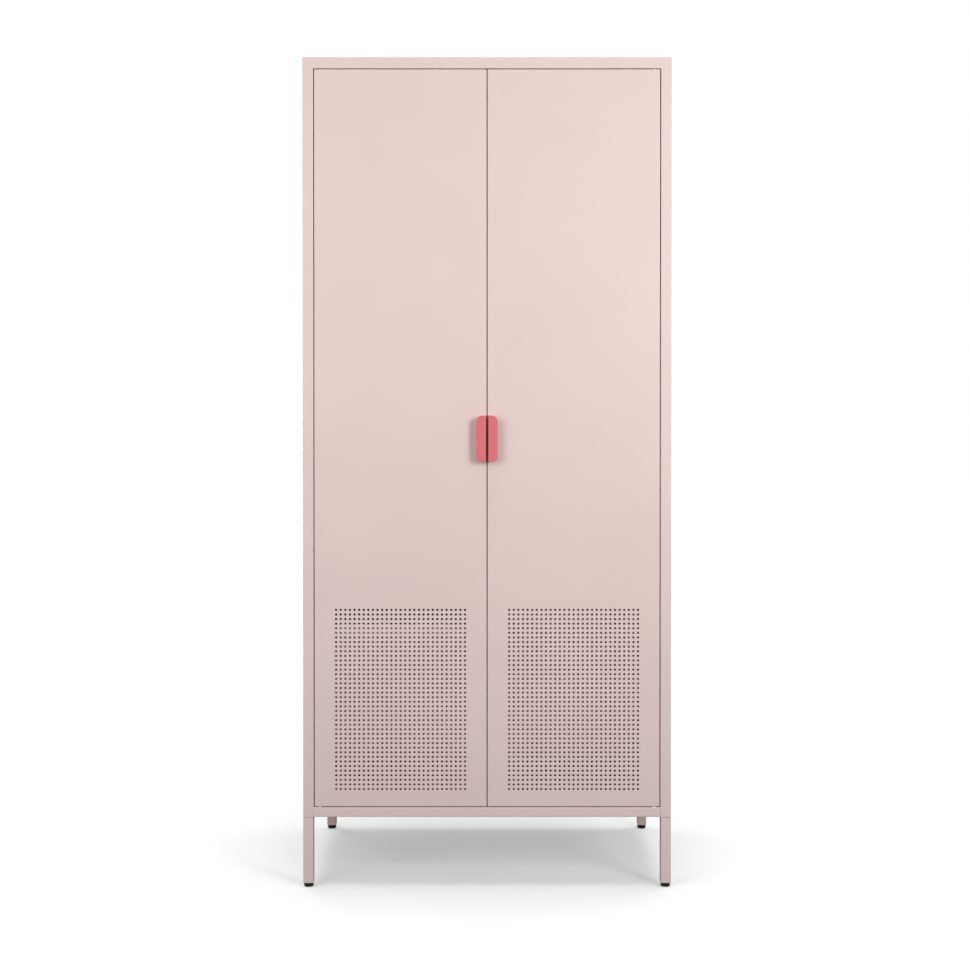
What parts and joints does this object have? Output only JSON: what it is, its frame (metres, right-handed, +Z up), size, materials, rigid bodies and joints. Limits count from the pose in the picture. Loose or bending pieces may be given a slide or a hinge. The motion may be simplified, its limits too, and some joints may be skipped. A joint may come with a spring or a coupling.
{
  "type": "locker cabinet",
  "caption": "Tall steel locker cabinet on square legs with hinged doors, perforated at the bottom, tab pulls in the middle, shelves on one side and a hanging rail on the other.",
  "frame": {"origin": "on the floor under the middle of the cabinet's box, which includes the pulls that stand out at the front", "axes": "+X to the right as seen from the front, +Y to the back, so the doors face -Y, and +Z up"},
  "size_m": [0.8, 0.5, 1.803],
  "materials": {
    "pink_powder_coat": "satin powder coat with a very fine texture",
    "coral_powder_coat": "satin powder coat",
    "zinc_hardware": "bright zinc plate",
    "rail_chrome": "polished chrome plate",
    "black_plastic": "moulded nylon, matt",
    "black_rubber": "matt rubber",
    "ferrite_magnet": "ferrite magnet in a matt casing",
    "natural_nylon": "natural nylon"
  },
  "bodies": {
    "cabinet_body": {"left_side_panel": "pink_powder_coat", "right_side_panel": "pink_powder_coat", "top_panel": "pink_powder_coat", "floor_panel": "pink_powder_coat", "back_panel": "pink_powder_coat", "centre_partition": "pink_powder_coat", "shelf_uprights": "pink_powder_coat", "shelf_clips": "zinc_hardware", "lower_shelf": "pink_powder_coat", "middle_shelf": "pink_powder_coat", "upper_shelf": "pink_powder_coat", "hat_shelf": "pink_powder_coat", "hat_shelf_rivets": "zinc_hardware", "hanging_rail": "rail_chrome", "rail_sockets": "zinc_hardware", "rail_socket_screws": "zinc_hardware", "wall_fixing_plates": "zinc_hardware", "upper_pivot_plates": "zinc_hardware", "upper_pivot_pins": "zinc_hardware", "lower_pivot_plates": "zinc_hardware", "lower_pivot_pins": "zinc_hardware", "door_magnets": "ferrite_magnet", "door_buffers": "black_rubber", "leg_front_left": "pink_powder_coat", "leg_front_right": "pink_powder_coat", "leg_rear_left": "pink_powder_coat", "leg_rear_right": "pink_powder_coat", "leg_nut_plates": "zinc_hardware", "leg_studs": "zinc_hardware", "leg_inserts": "black_plastic"},
    "left_door": {"left_door_panel": "pink_powder_coat", "left_door_stiffener": "pink_powder_coat", "left_door_pivot_plates": "zinc_hardware", "left_door_bushes": "natural_nylon", "left_handle": "coral_powder_coat", "left_handle_screws": "zinc_hardware"},
    "right_door": {"right_door_panel": "pink_powder_coat", "right_door_stiffener": "pink_powder_coat", "right_door_pivot_plates": "zinc_hardware", "right_door_bushes": "natural_nylon", "right_handle": "coral_powder_coat", "right_handle_screws": "zinc_hardware"},
    "foot_front_left": {"foot_pad_front_left": "black_plastic", "foot_stem_front_left": "zinc_hardware"},
    "foot_front_right": {"foot_pad_front_right": "black_plastic", "foot_stem_front_right": "zinc_hardware"},
    "foot_rear_left": {"foot_pad_rear_left": "black_plastic", "foot_stem_rear_left": "zinc_hardware"},
    "foot_rear_right": {"foot_pad_rear_right": "black_plastic", "foot_stem_rear_right": "zinc_hardware"}
  },
  "joints": [
    {"name": "left_door_hinge", "type": "hinge", "parent": "cabinet_body", "child": "left_door", "pos_m": [-0.3635, -0.224, 0.976], "axis": [0, 0, -1], "range_deg": [0, 110]},
    {"name": "right_door_hinge", "type": "hinge", "parent": "cabinet_body", "child": "right_door", "pos_m": [0.3635, -0.224, 0.976], "axis": [0, 0, 1], "range_deg": [0, 110]},
    {"name": "front_left_foot_adjust", "type": "slide", "parent": "cabinet_body", "child": "foot_front_left", "axis": [0, 0, -1], "range_m": [0, 0.01]},
    {"name": "front_right_foot_adjust", "type": "slide", "parent": "cabinet_body", "child": "foot_front_right", "axis": [0, 0, -1], "range_m": [0, 0.01]},
    {"name": "rear_left_foot_adjust", "type": "slide", "parent": "cabinet_body", "child": "foot_rear_left", "axis": [0, 0, -1], "range_m": [0, 0.01]},
    {"name": "rear_right_foot_adjust", "type": "slide", "parent": "cabinet_body", "child": "foot_rear_right", "axis": [0, 0, -1], "range_m": [0, 0.01]}
  ]
}
